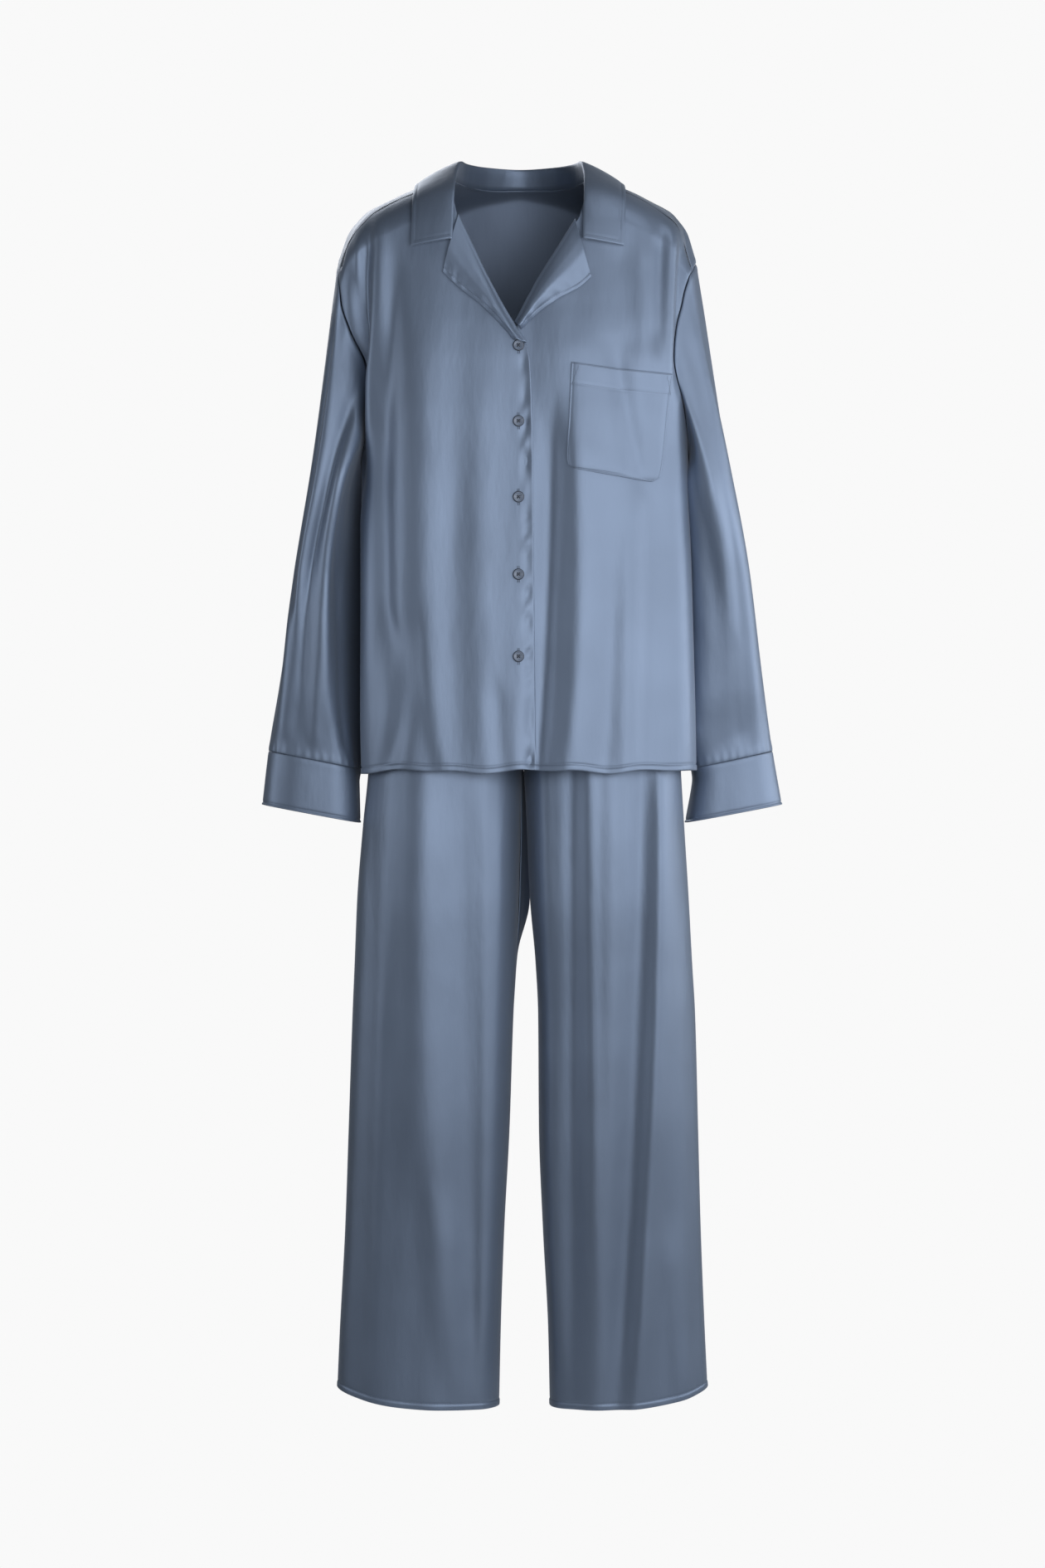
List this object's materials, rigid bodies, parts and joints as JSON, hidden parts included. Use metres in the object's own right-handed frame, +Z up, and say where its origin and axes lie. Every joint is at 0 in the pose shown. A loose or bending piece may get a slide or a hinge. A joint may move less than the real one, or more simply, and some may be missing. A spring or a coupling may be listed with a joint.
{
  "type": "pyjama set",
  "caption": "Satin pyjama set, filled out as if worn: long-sleeved shirt with revere collar, button front and breast pocket, hanging over wide straight trousers.",
  "frame": {"origin": "middle of the neck, level with the shoulders, where the set is held up", "axes": "+Z up, +X to the wearer's left, the front faces -Y"},
  "size_m": [0.5982, 0.2061, 1.425],
  "materials": {
    "satin": "dusty blue-grey satin, soft sheen",
    "button_plastic": "blue-grey pearly plastic"
  },
  "bodies": {
    "root": {"shirt_front_right": "satin", "shirt_front_left": "satin", "shirt_back": "satin", "sleeve_right": "satin", "sleeve_left": "satin", "cuff_right": "satin", "cuff_left": "satin", "collar": "satin", "lapel_right": "satin", "lapel_left": "satin", "pocket": "satin", "button_1": "button_plastic", "button_2": "button_plastic", "button_3": "button_plastic", "button_4": "button_plastic", "button_5": "button_plastic", "trouser_front_right": "satin", "trouser_front_left": "satin", "trouser_back_right": "satin", "trouser_back_left": "satin", "waistband": "satin"}
  },
  "joints": []
}
